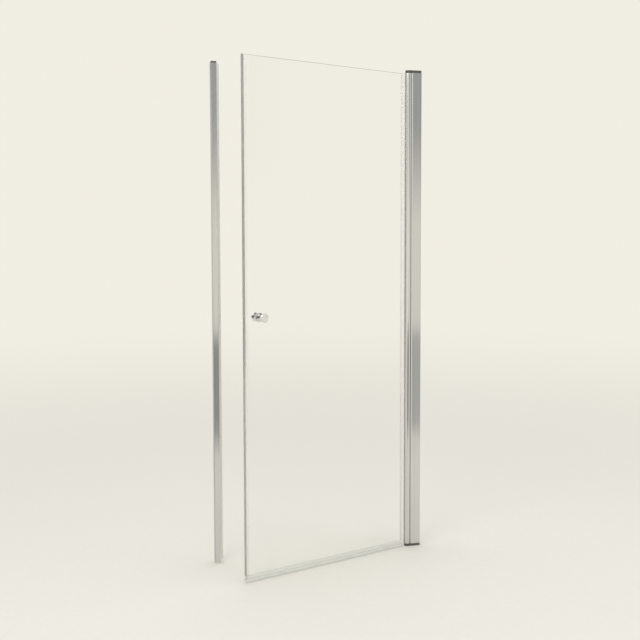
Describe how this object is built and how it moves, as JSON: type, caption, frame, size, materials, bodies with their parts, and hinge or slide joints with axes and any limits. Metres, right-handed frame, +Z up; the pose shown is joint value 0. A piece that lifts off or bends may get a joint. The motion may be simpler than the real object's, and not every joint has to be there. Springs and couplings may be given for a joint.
{
  "type": "pivot shower door",
  "caption": "Frameless glass pivot shower door for an alcove, with a hinge post and a magnetic strike post, shown standing part open.",
  "frame": {"origin": "on the pivot axis, at the underside of the bottom pivot block, where it stands on the shower tray", "axes": "+Z up along the pivot axis; +X along the opening towards the wall that carries the hinge post; +Y into the shower, so the leaf opens towards -Y"},
  "size_m": [0.88, 0.296, 2],
  "materials": {
    "polished_aluminium": "bright polished, like chrome",
    "mill_aluminium": "plain extruded",
    "chrome": "mirror",
    "steel": "stainless, satin",
    "dark_block": "satin dark grey",
    "clear_glass": "clear toughened glass",
    "clear_seal": "clear soft plastic",
    "milky_seal": "milky soft plastic",
    "magnet_strip": "magnet-filled rubber, grey",
    "grey_rubber": "soft grey",
    "nylon": "natural nylon"
  },
  "bodies": {
    "wall_frame": {"hinge_wall_channel": "mill_aluminium", "hinge_post": "polished_aluminium", "hinge_wiper": "grey_rubber", "bottom_pivot_block": "dark_block", "top_pivot_block": "dark_block", "bottom_pivot_pin": "steel", "top_pivot_pin": "steel", "thrust_washer": "nylon", "bottom_block_screws": "steel", "top_block_screws": "steel", "hinge_post_screws": "steel", "hinge_screw_caps": "chrome", "strike_wall_channel": "mill_aluminium", "strike_post": "polished_aluminium", "strike_top_cap": "dark_block", "strike_foot_cap": "nylon", "strike_seal": "milky_seal", "strike_magnet": "magnet_strip", "strike_post_screws": "steel", "strike_screw_caps": "chrome"},
    "door_leaf": {"hinge_stile": "polished_aluminium", "stile_bottom_plug": "nylon", "stile_top_plug": "nylon", "bottom_pivot_bush": "nylon", "top_pivot_bush": "nylon", "glass_panel": "clear_glass", "glazing_gasket": "clear_seal", "edge_seal": "clear_seal", "edge_magnet": "magnet_strip", "bottom_seal": "clear_seal", "outer_knob": "chrome", "inner_knob": "chrome", "knob_stud": "steel", "knob_sleeve": "nylon", "knob_washers": "clear_seal"}
  },
  "joints": [
    {"name": "door_pivot", "type": "hinge", "parent": "wall_frame", "child": "door_leaf", "pos_m": [0, 0, 0], "axis": [0, 0, 1], "range_deg": [-19.3, 70.7]}
  ]
}
